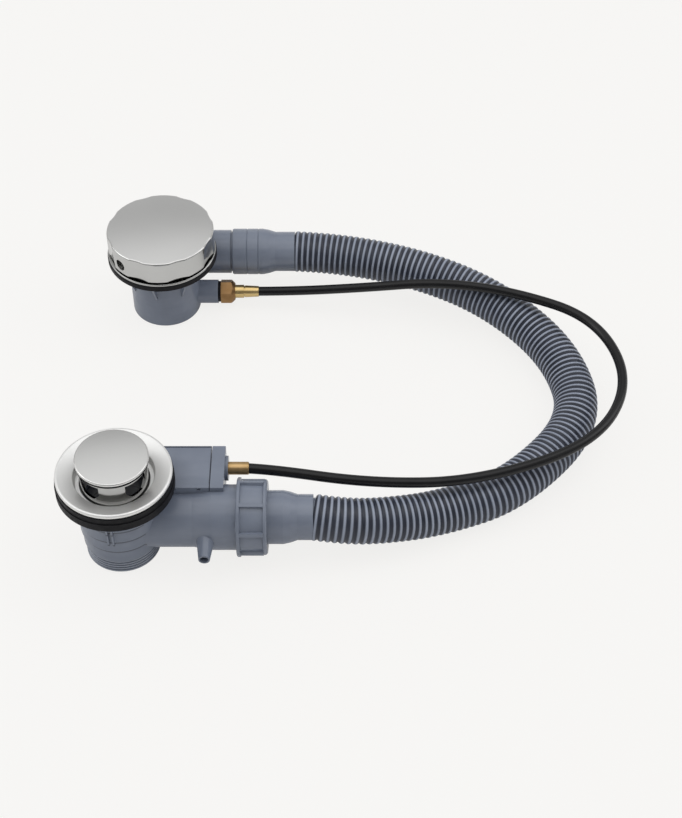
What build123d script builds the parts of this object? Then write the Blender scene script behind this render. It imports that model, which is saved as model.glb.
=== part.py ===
"""Bath waste and overflow: a knob at the overflow works the pop-up plug through a sheathed cable.

Millimetres, +Z up. The origin is the centre of the outlet's lower end, the hose loop lies towards +X
and the overflow stands towards +Y, as the set lies on a table before it is fitted.
"""
import os
from math import cos, pi, radians, sin, sqrt, tan

from build123d import *

# Bought-in sizes and fits
OUTLET_THREAD_R = 23.9
UNION_THREAD_R = 20.95
RUN = 0.05
CLEAR = 0.3
SLIDE = 0.25

# Levels of the waste: body, the two rubber rings, rim
BODY_TOP = 58.0
BATH_SEAL_T = 6.6
FLANGE_SEAL_T = 4.4
SEAL_SPLIT_Z = BODY_TOP + BATH_SEAL_T
RIM_Z = SEAL_SPLIT_Z + FLANGE_SEAL_T

# Flange of the waste
FLANGE_R = 36.5
RIM_T = 3.0
RIM_W = 1.6
RIM_ROUND = 1.3
DISH_DROP = 3.2
WELL_R = 25.4
WELL_ROUND = 0.8
WELL_DEPTH = 5.2
SEAT_R = 24.6
THROAT_R = 22.0
THROAT_EDGE = 0.3
FLANGE_WALL = 2.0
TAIL_R = 24.3
TAIL_L = 16.1
FLANGE_TOP = RIM_Z + RIM_T
DISH_R = FLANGE_R - RIM_W
WELL_TOP = FLANGE_TOP - DISH_DROP
SEAT_Z = WELL_TOP - WELL_DEPTH
TAIL_BOTTOM = SEAT_Z - TAIL_L
WELL_OUT_R = WELL_R + FLANGE_WALL
# the dish's underside runs out into the flat under the rim
KNEE_R = FLANGE_R - 3.8
KNEE_Z = WELL_TOP - FLANGE_WALL
UNDER_Z = SEAT_Z - 1.4 * FLANGE_WALL

# Rubber rings that clamp the bath's floor
FLANGE_SEAL_R = FLANGE_R + 0.3
BODY_SEAL_R = FLANGE_R + 0.8
SEAL_GAP = 0.2

# Body of the waste
BODY_FLANGE_R = 33.5
BODY_FLANGE_T = 3.0
BODY_TAPER = 0.085
BODY_FOOT_R = 23.7
STEP_IN = 1.2
STEP_LEVELS = (12.5, 24.0, 34.5, 45.3)
CUP_R = 22.0
OUTLET_R = 20.3
SOCKET_R = TAIL_R + CLEAR
SOCKET_Z = TAIL_BOTTOM - 1.0
THREAD_TOP = STEP_LEVELS[0]
THREAD_PITCH = 2.3
THREAD_DEPTH = 1.1
RIB_ANGLE = -95.5
RIB_PITCH = 3.2
RIB_W = 1.3
RIB_H = 1.0

# Side tube towards the hose
TUBE_Z = 27.0
TUBE_R = 19.0
TUBE_BORE = 16.0
TUBE_TAPER_X = 47.0
TUBE_STEP_X = 59.0
TUBE_END_X = 86.0
NOZZLE_X = 55.2
NOZZLE_LOW = 0.5
NOZZLE_Z = TUBE_Z - NOZZLE_LOW
NOZZLE_L = 15.0
NOZZLE_BASE_R = 5.7
NOZZLE_TIP_R = 3.6
NOZZLE_BORE = 2.7

# Plug
PLUG_LIFT = 18.5
CAP_R = 23.0
CAP_T = 2.8
CAP_DOME = 0.7
CAP_ROUND = 0.9
PLUG_SEAL_T = 1.0
PLUG_SEAL_R = CAP_R - 0.1
SEAT_GAP = 0.1
BASKET_R = THROAT_R - 0.7
BASKET_WALL = 1.5
BASKET_H = 20.9
BASKET_PLATE_T = 1.8
WINDOWS = 4
WINDOW_ANGLE = 49.0
WINDOW_H = 11.7
WINDOW_SHOULDER_H = 6.8
WINDOW_LINTEL = 1.2
WINDOW_HALF = 8.2
WINDOW_FOOT_HALF = 4.4
BOSS_R = 6.0
STEM_R = 3.0
STEM_THREAD_R = 2.6
STEM_TIP_R = 0.3
COLLAR_R = 8.0
COLLAR_T = 1.5
# the plug stands one lift above its seat
PLUG_SEAL_Z = SEAT_Z + SEAT_GAP + PLUG_LIFT
CAP_BOTTOM = PLUG_SEAL_Z + PLUG_SEAL_T
CAP_TOP = CAP_BOTTOM + CAP_T
PLATE_Z = PLUG_SEAL_Z - BASKET_PLATE_T
BASKET_BOTTOM = PLUG_SEAL_Z - BASKET_H
WINDOW_TOP = PLATE_Z - WINDOW_LINTEL
WINDOW_SHOULDER = WINDOW_TOP - WINDOW_SHOULDER_H
WINDOW_BOTTOM = WINDOW_TOP - WINDOW_H

# Spider that guides the stem
HUB_R = 6.0
HUB_TOP = BODY_TOP
SPIDER_T = 3.8
SPIDER_DROP = 4.35
SPIDER_TOP = BASKET_BOTTOM - PLUG_LIFT - CLEAR
SPIDER_ARMS = 3
STEM_FOOT_Z = SPIDER_TOP - SPIDER_DROP
HUB_BOTTOM = STEM_FOOT_Z + 0.5

# Lever under the stem: it swings the same angle up and down
SWING = 30.0
FINGER_L = PLUG_LIFT / (2 * sin(radians(SWING)))
FINGER_TIP_R = 2.5
FINGER_HUB_R = 4.2
CRANK_HUB_R = 4.4
FINGER_W = 7.0
LIFT_GAP = 0.5
AXLE_R = 2.5
AXLE_X = FINGER_L * (1 + cos(radians(SWING))) / 2
AXLE_Z = STEM_FOOT_Z - LIFT_GAP - FINGER_TIP_R - PLUG_LIFT / 2

# Cable box beside the tube
BOX_X0 = 0.0
BOX_X1 = 57.5
BOX_Y0 = 4.0
BOX_Y1 = 40.0
BOX_ROOF = 10.0
BOX_WALL = 2.5
BOX_FLOOR_GAP = 0.5
END_BLOCK_L = 9.0
END_BLOCK_DROP = 10.5
SEAM = 0.5
LID_T = 1.3
LID_LOW = 0.6
SHALLOW_BAY_IN = 9.0  # from the lid's front edge to the shallow bay over the tube
LID_Y0 = 7.0
LATCH_X = 51.0
CAVITY_Y0 = 25.0
CAVITY_ROUND = 26.6
LID_ROUND = 32.0
WIRE_Y = 29.0
WIRE_R = 0.9
ARM_L = 15.1
WIRE_Z = AXLE_Z + ARM_L
TRAVEL = 2 * ARM_L * tan(radians(SWING))
NIPPLE_R = 2.6
NIPPLE_PIN_R = 1.9
ARM_T = 2.5
ARM_Y = WIRE_Y + 1.1
BACK_WALL_Y = BOX_Y1 - BOX_WALL
BOX_TOP = WIRE_Z + BOX_ROOF
END_BLOCK_Z0 = WIRE_Z - END_BLOCK_DROP
BOX_BOTTOM = AXLE_Z - CRANK_HUB_R - BOX_FLOOR_GAP - BOX_WALL
# at rest the plug is up, so the lever stands at the upper end of its swing
NIPPLE_X = AXLE_X + TRAVEL / 2
FERRULE_R = 4.2
FERRULE_GRIP = 6.5
FERRULE_BOSS_R = 8.1
FERRULE_BOSS_L = 1.8
SHEATH_R = 3.4
SHEATH_BORE = 1.4
FERRULE_L = 8.5
BOX_END_X = BOX_X1 + END_BLOCK_L
LOWER_SHEATH_X = BOX_END_X + FERRULE_L
FERRULE_END_X = LOWER_SHEATH_X + FERRULE_GRIP

# Union nut and the hose's ends
NUT_GRIP = 11.3
NUT_X0 = TUBE_END_X - NUT_GRIP
NUT_L = 19.3
NUT_R = 23.3
NUT_RIB_R = 25.4
NUT_RIBS = 8
NUT_RIB_W = 2.4
NUT_RIM_L = 2.2
WASHER_L = 3.0
CUFF_FLANGE_R = 19.4
CUFF_FLANGE_L = 1.5
LOWER_CUFF_R = 17.2
LOWER_CUFF_L = 37.0
LOWER_TAPER_L = 9.0
LOWER_NECK_L = 10.0
LOWER_NECK_R = 14.7
LOWER_HOSE_X = TUBE_END_X + LOWER_CUFF_L
LOWER_TAPER_X1 = LOWER_HOSE_X - LOWER_NECK_L
LOWER_TAPER_X0 = LOWER_TAPER_X1 - LOWER_TAPER_L
HOSE_R = 15.0
HOSE_BORE = 12.6
NOSE_R = HOSE_BORE - 0.1
NOSE_L = 10.0
CUFF_BORE = 11.3

# Overflow
OVER_X = 12.0
OVER_Y = 226.0
SHELL_R = 24.8
SHELL_WALL = 2.5
SHELL_FLOOR = 3.0
SHELL_TOP = 47.5
SHELL_FLANGE_R = 33.5
SHELL_FLANGE_T = 3.0
FOOT_ROUND = 1.6
GUSSETS = 8
GUSSET_ANGLE = -55.0
GUSSET_T = 1.6
GUSSET_H = 19.0
SPIGOT_OFFSET = 26.0
SPIGOT_LOW = 0.6
SPIGOT_R = 15.9
SPIGOT_Y = OVER_Y + SPIGOT_OFFSET
SPIGOT_Z = SHELL_TOP - SHELL_FLANGE_T - SPIGOT_LOW - SPIGOT_R
SPIGOT_BORE = 12.9
SPIGOT_BACK = 11.0
SPIGOT_ROUND = 6.0
SPIGOT_L = 58.5
SPIGOT_NOSE_R = 14.6
SPIGOT_NOSE_L = 20.5
SPIGOT_X0 = OVER_X - SPIGOT_BACK
SPIGOT_STEP_X = SPIGOT_X0 + SPIGOT_L
SPIGOT_END_X = SPIGOT_STEP_X + SPIGOT_NOSE_L
GLAND_Z = 12.0
GLAND_R = 8.6
GLAND_BORE = 2.2
GLAND_L = 38.4
GLAND_END_X = OVER_X + GLAND_L
GLAND_THREAD_R = 6.0
GLAND_THREAD_L = 9.0
O_RING_T = 2.0
OVER_SEAL_R = 39.1
OVER_SEAL_BORE = 26.0
OVER_SEAL_T = 5.0
PLATE_R = 38.6
PLATE_T = 1.1
PLATE_HUB_R = 9.0
PLATE_HUB_L = 12.0
PLATE_SLOTS = 6
PLATE_SLOT_W = 8.0
SCREW_R = 2.5
SCREW_HEAD_R = 4.5
SCREW_HEAD_H = 1.6
SCREW_CROSS_L = 5.0
SCREW_CROSS_W = 0.9
SCREW_L = 17.0
SCREW_PCD_R = 29.6
SPINDLE_R = 5.0
CRANK_R = TRAVEL / (2 * sin(radians(45)))
CRANK_T = 3.0
CRANK_PIN_R = 2.5
SLIDER_H = 6.0
SLIDER_HALF = 4.6
SLIDER_SLOT_L = 16.0
TONGUE_HALF = 4.0
RAIL_T = 1.5
RAIL_HALF_L = 17.0
CLIP_R = 7.6
CLIP_T = 1.2
SEAL_TOP = SHELL_TOP + OVER_SEAL_T
PLATE_TOP = SEAL_TOP + PLATE_T

# Knob
KNOB_R = 38.0
KNOB_GAP = 2.0
KNOB_DOME = 0.9
KNOB_H = 17.6
KNOB_BOTTOM = PLATE_TOP + KNOB_GAP
KNOB_TOP = KNOB_BOTTOM + KNOB_H
KNOB_LOBES = 8
LOBE_ANGLE = -90.0
SCALLOP_R = 40.0
SCALLOP_DEPTH = 1.7
SCALLOP_TOP_DEPTH = 0.7
KNOB_ROUND = 1.3
KNOB_WALL = 4.0
KNOB_FACE_T = 3.4
KNOB_HUB_R = 9.5
GRUB_DROP = 11.0
GRUB_Z = KNOB_TOP - GRUB_DROP
GRUB_R = 2.5
GRUB_HOLE_R = 4.2
GRUB_L = 7.0
GRUB_BOSS_R = GRUB_HOLE_R + 1.3

# Gland nut and sleeve at the overflow
GLAND_NUT_AF = 15.6
GLAND_NUT_L = 10.4
SLEEVE_R = 4.8
SLEEVE_L = 6.4
SLEEVE_TIP_R = 3.9
SLEEVE_SOCKET = 8.2
SLEEVE_GRIP = 9.0
GLAND_NUT_X = GLAND_END_X + O_RING_T
GLAND_NUT_END = GLAND_NUT_X + GLAND_NUT_L
UPPER_SHEATH_X = GLAND_NUT_END + SLEEVE_SOCKET
SLEEVE_END_X = UPPER_SHEATH_X + SLEEVE_GRIP

# Upper hose cuff
CUFF_GAP = 1.2
UPPER_CUFF_R = 16.8
UPPER_TAPER_L = 9.2
UPPER_NECK_R = 14.5
UPPER_NECK_L = 14.3
GROOVE_STEPS = (10.8, 19.1)
GROOVE = 0.5
UPPER_CUFF_X0 = SPIGOT_STEP_X + CUFF_GAP
UPPER_TAPER_X0 = SPIGOT_END_X + 3
UPPER_TAPER_X1 = UPPER_TAPER_X0 + UPPER_TAPER_L
UPPER_HOSE_X = UPPER_TAPER_X1 + UPPER_NECK_L

# Routes of the hose and of the cable, corner by corner
HOSE_ROUTE = [
    (UPPER_HOSE_X, SPIGOT_Y, SPIGOT_Z),
    (140.0, SPIGOT_Y, SPIGOT_Z),
    (206.0, 233.0, 25.0),
    (257.0, 204.0, 20.0),
    (297.0, 155.0, HOSE_R),
    (303.0, 95.0, HOSE_R),
    (253.0, 36.0, HOSE_R),
    (200.0, 10.0, 18.0),
    (165.0, 0.0, TUBE_Z),
    (LOWER_HOSE_X, 0.0, TUBE_Z),
]
CABLE_ROUTE = [
    (UPPER_SHEATH_X, OVER_Y, GLAND_Z),
    (103.0, OVER_Y, GLAND_Z),
    (157.0, 217.0, 24.0),
    (210.0, 207.5, 38.5),
    (263.0, 196.0, 40.0),
    (319.5, 172.0, 37.0),
    (338.0, 112.0, 36.0),
    (308.0, 54.5, 36.0),
    (229.0, 22.5, 38.0),
    (160.0, 16.5, 40.5),
    (117.0, WIRE_Y, WIRE_Z),
    (LOWER_SHEATH_X, WIRE_Y, WIRE_Z),
]
ARC_SHARE = 0.45
# the moving wire ends keep this much of the sheath's ends to themselves
WIRE_STROKE = 13.0
WIRE_END_GAP = 6.0  # between the moving wire's end and the sheath's end
CORE_START_X = UPPER_SHEATH_X + WIRE_STROKE
CORE_END_X = LOWER_SHEATH_X + WIRE_STROKE - 2


def arc_radii(route):
    """Bend radius at each corner of a route, as large as its two runs allow."""
    points = [Vector(*p) for p in route]
    radii = []
    for before, corner, after in zip(points, points[1:], points[2:]):
        run = min((corner - before).length, (after - corner).length)
        turn = radians((corner - before).get_angle(after - corner))
        radii.append(ARC_SHARE * run / tan(turn / 2))
    return radii


def tube(route, outer, inner):
    """A plain tube along a route."""
    points = [Vector(*p) for p in route]
    start = Plane(origin=points[0], z_dir=points[1] - points[0])
    with BuildPart() as made:
        with BuildLine() as path:
            FilletPolyline(*route, radius=arc_radii(route))
        with BuildSketch(start):
            Circle(outer)
            if inner > 0:
                Circle(inner, mode=Mode.SUBTRACT)
        sweep(path=path.wires()[0])
    return made


def along_x(y, z):
    """Sketch plane of a piece turned about a line along X: local x is X, local y is the radius."""
    return Plane(origin=(0, y, z), x_dir=(1, 0, 0), z_dir=(0, -1, 0))


def radial(angle, centre=(0, 0)):
    """Upright plane through a vertical axis: local x points outwards at an angle, local y is up."""
    a = radians(angle)
    return Plane(origin=(centre[0], centre[1], 0), x_dir=(cos(a), sin(a), 0), z_dir=(sin(a), -cos(a), 0))


UPRIGHT = Plane.XZ
OVER_UPRIGHT = Plane(origin=(OVER_X, OVER_Y, 0), x_dir=(1, 0, 0), z_dir=(0, -1, 0))
OVER_AXIS = Axis((OVER_X, OVER_Y, 0), (0, 0, 1))
TUBE_AXIS = Axis((0, 0, TUBE_Z), (1, 0, 0))
WIRE_AXIS = Axis((0, WIRE_Y, WIRE_Z), (1, 0, 0))
SPIGOT_AXIS = Axis((0, SPIGOT_Y, SPIGOT_Z), (1, 0, 0))
GLAND_AXIS = Axis((0, OVER_Y, GLAND_Z), (1, 0, 0))
pieces = {}

# Chromed flange: rim, dish, well with the plug's seat and threaded tail in one turning
with BuildPart() as waste_flange:
    with BuildSketch(UPRIGHT) as profile:
        with BuildLine():
            Polyline(
                (THROAT_R, TAIL_BOTTOM),
                (TAIL_R, TAIL_BOTTOM),
                (TAIL_R, UNDER_Z),
                (WELL_OUT_R, UNDER_Z),
                (WELL_OUT_R, KNEE_Z),
                (KNEE_R, RIM_Z),
                (FLANGE_R, RIM_Z),
                (FLANGE_R, FLANGE_TOP),
                (DISH_R, FLANGE_TOP),
                (WELL_R, WELL_TOP),
                (SEAT_R, SEAT_Z),
                (THROAT_R + THROAT_EDGE, SEAT_Z),
                (THROAT_R, SEAT_Z - THROAT_EDGE),
                close=True,
            )
        make_face()
        fillet(profile.vertices().group_by(Axis.X)[-1], RIM_ROUND)
        fillet(profile.vertices().sort_by_distance((WELL_R, WELL_TOP))[0], WELL_ROUND)
    revolve(axis=Axis.Z)
pieces["waste_flange"] = waste_flange

# Rubber rings above and below the bath's floor
with BuildPart() as flange_seal:
    with BuildSketch(UPRIGHT):
        with BuildLine():
            Polyline(
                (WELL_OUT_R + SEAL_GAP, SEAL_SPLIT_Z),
                (FLANGE_SEAL_R, SEAL_SPLIT_Z),
                (FLANGE_SEAL_R, RIM_Z),
                (KNEE_R + SEAL_GAP, RIM_Z),
                (WELL_OUT_R + SEAL_GAP, KNEE_Z),
                close=True,
            )
        make_face()
    revolve(axis=Axis.Z)
pieces["flange_seal"] = flange_seal

with BuildPart() as bath_seal:
    with BuildSketch(UPRIGHT):
        with BuildLine():
            Polyline(
                (WELL_OUT_R + SEAL_GAP, BODY_TOP),
                (BODY_SEAL_R - 0.8, BODY_TOP),
                (BODY_SEAL_R, BODY_TOP + 0.8),
                (BODY_SEAL_R, SEAL_SPLIT_Z),
                (WELL_OUT_R + SEAL_GAP, SEAL_SPLIT_Z),
                close=True,
            )
        make_face()
    revolve(axis=Axis.Z)
pieces["bath_seal"] = bath_seal

# Moulded body: cup with stepped cone, outlet thread, side tube, cable box, nozzle and stem guide
body_outline = [(0, 0), (OUTLET_THREAD_R - THREAD_DEPTH, 0)]
thread_z = 0.5
while thread_z + THREAD_PITCH < THREAD_TOP:
    body_outline.append((OUTLET_THREAD_R - THREAD_DEPTH, thread_z))
    body_outline.append((OUTLET_THREAD_R, thread_z + 0.35 * THREAD_PITCH))
    body_outline.append((OUTLET_THREAD_R, thread_z + 0.65 * THREAD_PITCH))
    thread_z += THREAD_PITCH
body_outline.append((OUTLET_THREAD_R - THREAD_DEPTH, thread_z))
body_outline.append((OUTLET_THREAD_R - THREAD_DEPTH, THREAD_TOP))
cone_top = BODY_TOP - BODY_FLANGE_T
for low, high in zip(STEP_LEVELS, STEP_LEVELS[1:] + (cone_top,)):
    body_outline.append((BODY_FOOT_R + BODY_TAPER * low, low))
    body_outline.append((BODY_FOOT_R + BODY_TAPER * high - STEP_IN, high))
body_outline += [(BODY_FLANGE_R, cone_top), (BODY_FLANGE_R, BODY_TOP), (0, BODY_TOP)]

with BuildPart() as waste_body:
    with BuildSketch(UPRIGHT):
        with BuildLine():
            Polyline(*body_outline, close=True)
        make_face()
    revolve(axis=Axis.Z)
    with BuildSketch(along_x(0, TUBE_Z)):
        with BuildLine():
            Polyline(
                (0, 0),
                (TUBE_END_X, 0),
                (TUBE_END_X, UNION_THREAD_R - 1.2),
                (TUBE_END_X - 1.2, UNION_THREAD_R),
                (TUBE_STEP_X, UNION_THREAD_R),
                (TUBE_TAPER_X, TUBE_R),
                (0, TUBE_R),
                close=True,
            )
        make_face()
    revolve(axis=TUBE_AXIS)
    with BuildSketch(Plane.YZ.offset(BOX_X0)) as box_end:
        with BuildLine():
            Polyline(
                (BOX_Y0, TUBE_Z),
                (BOX_Y0, BOX_TOP),
                (BOX_Y1, BOX_TOP),
                (BOX_Y1, BOX_BOTTOM),
                (TUBE_BORE, BOX_BOTTOM),
                close=True,
            )
        make_face()
        fillet(box_end.vertices().group_by(Axis.X)[-1], 1.5)
    extrude(amount=BOX_X1 - BOX_X0)
    with BuildSketch(Plane(origin=(NOZZLE_X, 0, NOZZLE_Z), x_dir=(0, -1, 0), z_dir=(1, 0, 0))):
        with BuildLine():
            Polyline(
                (TUBE_BORE + 1, 0),
                (TUBE_R + NOZZLE_L, 0),
                (TUBE_R + NOZZLE_L, NOZZLE_TIP_R),
                (TUBE_R, NOZZLE_BASE_R),
                (TUBE_BORE + 1, NOZZLE_BASE_R),
                close=True,
            )
        make_face()
    revolve(axis=Axis((NOZZLE_X, 0, NOZZLE_Z), (0, -1, 0)))
    for side in (-1, 1):
        with BuildSketch(radial(RIB_ANGLE).offset(side * RIB_PITCH / 2)):
            with BuildLine():
                Polyline(
                    (CUP_R + 2, STEP_LEVELS[2] - 2.5),
                    (BODY_FOOT_R + BODY_TAPER * STEP_LEVELS[2] + RIB_H, STEP_LEVELS[2] - 2.5),
                    (BODY_FOOT_R + BODY_TAPER * cone_top + RIB_H, cone_top),
                    (CUP_R + 2, cone_top),
                    close=True,
                )
            make_face()
        extrude(amount=RIB_W / 2, both=True)
    # cup, socket for the flange's tail, outlet and the tube's bore
    with BuildSketch(UPRIGHT):
        with BuildLine():
            Polyline(
                (0, -1),
                (OUTLET_R, -1),
                (OUTLET_R, THREAD_TOP),
                (CUP_R, THREAD_TOP + 2),
                (CUP_R, SOCKET_Z),
                (SOCKET_R, SOCKET_Z),
                (SOCKET_R, BODY_TOP + 1),
                (0, BODY_TOP + 1),
                close=True,
            )
        make_face()
    revolve(axis=Axis.Z, mode=Mode.SUBTRACT)
    with BuildSketch(Plane.YZ):
        with Locations((0, TUBE_Z)):
            Circle(TUBE_BORE)
    extrude(amount=TUBE_END_X + 1, mode=Mode.SUBTRACT)
    with BuildSketch(Plane.XZ.offset(TUBE_BORE - 3)):
        with Locations((NOZZLE_X, NOZZLE_Z)):
            Circle(NOZZLE_BORE)
    extrude(amount=NOZZLE_L + TUBE_R, mode=Mode.SUBTRACT)
    # cable box: deep bay for the crank, shallow bay over the tube, seat of the lid, latch window
    with BuildSketch(Plane.XY.offset(BOX_BOTTOM + BOX_WALL)):
        with BuildLine():
            Polyline(
                (BOX_X0 + BOX_WALL, CAVITY_Y0),
                (BOX_X1 - BOX_WALL, CAVITY_Y0),
                (BOX_X1 - BOX_WALL, BACK_WALL_Y),
                (BOX_X0 + BOX_WALL, BACK_WALL_Y),
                close=True,
            )
        make_face()
        Circle(CAVITY_ROUND, mode=Mode.SUBTRACT)
    extrude(amount=BOX_TOP - BOX_BOTTOM, mode=Mode.SUBTRACT)
    with BuildSketch(Plane.XY.offset(TUBE_Z + TUBE_BORE + 0.5)):
        with BuildLine():
            Polyline(
                (LID_ROUND + BOX_WALL, LID_Y0 + SHALLOW_BAY_IN),
                (BOX_X1 - BOX_WALL, LID_Y0 + SHALLOW_BAY_IN),
                (BOX_X1 - BOX_WALL, CAVITY_Y0),
                (LID_ROUND + BOX_WALL, CAVITY_Y0),
                close=True,
            )
        make_face()
    extrude(amount=BOX_TOP, mode=Mode.SUBTRACT)
    with BuildSketch(Plane.XY.offset(BOX_TOP - LID_LOW - LID_T)):
        with BuildLine():
            Polyline(
                (BOX_X0 + BOX_WALL / 2, LID_Y0),
                (BOX_X1 + 1, LID_Y0),
                (BOX_X1 + 1, BOX_Y1 - BOX_WALL / 2),
                (BOX_X0 + BOX_WALL / 2, BOX_Y1 - BOX_WALL / 2),
                close=True,
            )
        make_face()
        Circle(LID_ROUND, mode=Mode.SUBTRACT)
    extrude(amount=LID_T + LID_LOW + 1, mode=Mode.SUBTRACT)
    with BuildSketch(Plane.XZ.offset(-BOX_Y0)):
        with Locations((LATCH_X, BOX_TOP - 1.6)):
            Rectangle(2.0, 1.4)
    extrude(amount=-1.4, mode=Mode.SUBTRACT)
    # axle's bearings: long one through the cup's wall, short one in the back wall
    with BuildSketch(Plane.XZ.offset(-BACK_WALL_Y)):
        with Locations((AXLE_X, AXLE_Z)):
            Circle(AXLE_R + 2)
    extrude(amount=1.2)
    with BuildSketch(Plane.XZ.offset(-(BACK_WALL_Y + 1.2))):
        with Locations((AXLE_X, AXLE_Z)):
            Circle(AXLE_R + RUN)
    extrude(amount=BACK_WALL_Y + 1.2, mode=Mode.SUBTRACT)
    with BuildSketch(Plane.XZ.offset(-CAVITY_Y0)):
        with Locations((AXLE_X, AXLE_Z)):
            Circle(AXLE_R + O_RING_T)
    extrude(amount=O_RING_T, mode=Mode.SUBTRACT)
    # end wall's hole for the wire
    with BuildSketch(Plane.YZ.offset(BOX_X1 - BOX_WALL - 1)):
        with Locations((WIRE_Y, WIRE_Z)):
            Circle(WIRE_R + 1)
    extrude(amount=BOX_WALL + 2, mode=Mode.SUBTRACT)
    # spider: arms across the cup and a tall hub that stands inside the basket
    for arm in range(SPIDER_ARMS):
        with BuildSketch(radial(90 + arm * 360 / SPIDER_ARMS)):
            with BuildLine():
                Polyline(
                    (0, HUB_BOTTOM),
                    (CUP_R + 1, SPIDER_TOP - SPIDER_T),
                    (CUP_R + 1, SPIDER_TOP),
                    (0, SPIDER_TOP),
                    close=True,
                )
            make_face()
        extrude(amount=1.25, both=True)
    with BuildSketch(Plane.XY.offset(HUB_BOTTOM)):
        Circle(HUB_R)
    extrude(amount=HUB_TOP - HUB_BOTTOM)
    with BuildSketch(Plane.XY.offset(HUB_BOTTOM - 1)):
        Circle(STEM_R + RUN)
    extrude(amount=HUB_TOP - HUB_BOTTOM + 2, mode=Mode.SUBTRACT)
pieces["waste_body"] = waste_body

# Plug: chromed cap, rubber ring, strainer basket and stem
with BuildPart() as plug_cap:
    with BuildSketch(UPRIGHT) as profile:
        with BuildLine():
            Polyline(
                (0, CAP_TOP),
                (0, PLATE_Z),
                (BOSS_R, PLATE_Z),
                (BOSS_R, CAP_BOTTOM),
                (CAP_R, CAP_BOTTOM),
                (CAP_R, CAP_TOP - CAP_DOME),
            )
            TangentArc((0, CAP_TOP), (CAP_R, CAP_TOP - CAP_DOME), tangent=(1, 0))
        make_face()
        fillet(profile.vertices().group_by(Axis.X)[-1], CAP_ROUND)
    revolve(axis=Axis.Z)
    with BuildSketch(Plane.XY.offset(PLATE_Z - 1)):
        Circle(STEM_THREAD_R + RUN)
    extrude(amount=CAP_BOTTOM - PLATE_Z + 1.8, mode=Mode.SUBTRACT)
pieces["plug_cap"] = plug_cap

with BuildPart() as plug_seal:
    with BuildSketch(Plane.XY.offset(PLUG_SEAL_Z)):
        Circle(PLUG_SEAL_R)
        Circle(BOSS_R + CLEAR, mode=Mode.SUBTRACT)
    extrude(amount=PLUG_SEAL_T)
pieces["plug_seal"] = plug_seal

with BuildPart() as plug_basket:
    with BuildSketch(UPRIGHT):
        with BuildLine():
            Polyline(
                (BASKET_R - BASKET_WALL, BASKET_BOTTOM),
                (BASKET_R - 0.4, BASKET_BOTTOM),
                (BASKET_R, BASKET_BOTTOM + 0.4),
                (BASKET_R, PLUG_SEAL_Z),
                (BOSS_R + CLEAR, PLUG_SEAL_Z),
                (BOSS_R + CLEAR, PLATE_Z),
                (BASKET_R - BASKET_WALL, PLATE_Z),
                close=True,
            )
        make_face()
    revolve(axis=Axis.Z)
    for pair in range(WINDOWS // 2):
        with BuildSketch(radial(WINDOW_ANGLE + pair * 360 / WINDOWS)):
            with BuildLine():
                Polyline(
                    (-WINDOW_HALF, WINDOW_TOP),
                    (WINDOW_HALF, WINDOW_TOP),
                    (WINDOW_HALF, WINDOW_SHOULDER),
                    (WINDOW_FOOT_HALF, WINDOW_BOTTOM),
                    (-WINDOW_FOOT_HALF, WINDOW_BOTTOM),
                    (-WINDOW_HALF, WINDOW_SHOULDER),
                    close=True,
                )
            make_face()
        extrude(amount=BASKET_R + 1, both=True, mode=Mode.SUBTRACT)
pieces["plug_basket"] = plug_basket

with BuildPart() as plug_stem:
    with BuildSketch(UPRIGHT):
        with BuildLine():
            Polyline(
                (0, STEM_FOOT_Z),
                (STEM_TIP_R, STEM_FOOT_Z),
                (STEM_R, STEM_FOOT_Z + STEM_R - STEM_TIP_R),
                (STEM_R, PLATE_Z - COLLAR_T),
                (COLLAR_R, PLATE_Z - COLLAR_T),
                (COLLAR_R, PLATE_Z),
                (STEM_THREAD_R, PLATE_Z),
                (STEM_THREAD_R, CAP_BOTTOM + 0.6),
                (0, CAP_BOTTOM + 0.6),
                close=True,
            )
        make_face()
    revolve(axis=Axis.Z)
pieces["plug_stem"] = plug_stem

# Lever: axle through the cup's wall, finger under the stem and crank in the box
TIP_X = AXLE_X - FINGER_L * cos(radians(SWING))
TIP_Z = AXLE_Z + FINGER_L * sin(radians(SWING))
AXLE_END_Y = BACK_WALL_Y + 1.0
with BuildPart() as lift_axle:
    with BuildSketch(Plane.XZ.offset(-AXLE_END_Y)):
        with Locations((AXLE_X, AXLE_Z)):
            Circle(AXLE_R)
    extrude(amount=AXLE_END_Y + FINGER_W / 2 + 1)
pieces["lift_axle"] = lift_axle

with BuildPart() as lift_finger:
    with BuildSketch(Plane.XZ.offset(-FINGER_W / 2)):
        with Locations((AXLE_X, AXLE_Z)):
            Circle(FINGER_HUB_R)
        with Locations((TIP_X, TIP_Z)):
            Circle(FINGER_TIP_R)
        make_hull()
        with Locations((AXLE_X, AXLE_Z)):
            Circle(AXLE_R + 0.02, mode=Mode.SUBTRACT)
    extrude(amount=FINGER_W)
pieces["lift_finger"] = lift_finger

SLOT_R = NIPPLE_PIN_R + 0.35
with BuildPart() as crank_arm:
    with BuildSketch(Plane.XZ.offset(-(ARM_Y + ARM_T))):
        with Locations((AXLE_X, AXLE_Z)):
            Circle(CRANK_HUB_R)
        with Locations((NIPPLE_X, WIRE_Z)):
            Circle(SLOT_R + 1.6)
        make_hull()
        with Locations((AXLE_X, AXLE_Z)):
            Circle(AXLE_R + 0.02, mode=Mode.SUBTRACT)
        with Locations(((NIPPLE_X + AXLE_X) / 2 + TRAVEL * 0.19, AXLE_Z + ARM_L * 0.88)):
            SlotOverall(ARM_L * 0.62, 2 * SLOT_R, rotation=90 - SWING, mode=Mode.SUBTRACT)
    extrude(amount=ARM_T)
pieces["crank_arm"] = crank_arm

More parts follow.
